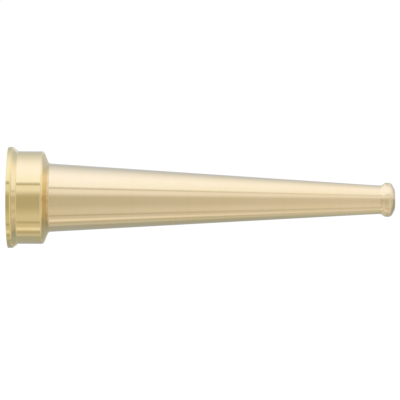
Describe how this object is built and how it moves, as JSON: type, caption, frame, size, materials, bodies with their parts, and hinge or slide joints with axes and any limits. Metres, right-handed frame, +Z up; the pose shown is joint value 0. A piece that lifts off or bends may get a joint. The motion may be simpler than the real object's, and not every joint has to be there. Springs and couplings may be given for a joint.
{
  "type": "smooth-bore fire hose nozzle",
  "caption": "Plain brass straight-stream fire hose nozzle: threaded inlet coupling with a rim, long tapered barrel and a beaded discharge tip.",
  "frame": {"origin": "centre of the inlet mouth, in the plane of the rim's front face", "axes": "+X along the nozzle's axis from the inlet to the discharge tip, +Z up with the nozzle level; the nozzle is a body of revolution about X apart from its thread"},
  "size_m": [0.254, 0.0664, 0.0664],
  "materials": {
    "coupling_brass": "fine-turned bare brass, satin to bright, yellow",
    "barrel_brass": "fine-turned and lightly buffed bare brass, slightly paler than the coupling",
    "braze_alloy": "smooth brazing alloy, cleaned after brazing",
    "gasket_rubber": "matt black moulded rubber"
  },
  "bodies": {
    "root": {"inlet_coupling": "coupling_brass", "barrel": "barrel_brass", "braze_ring": "braze_alloy", "hose_gasket": "gasket_rubber"}
  },
  "joints": []
}
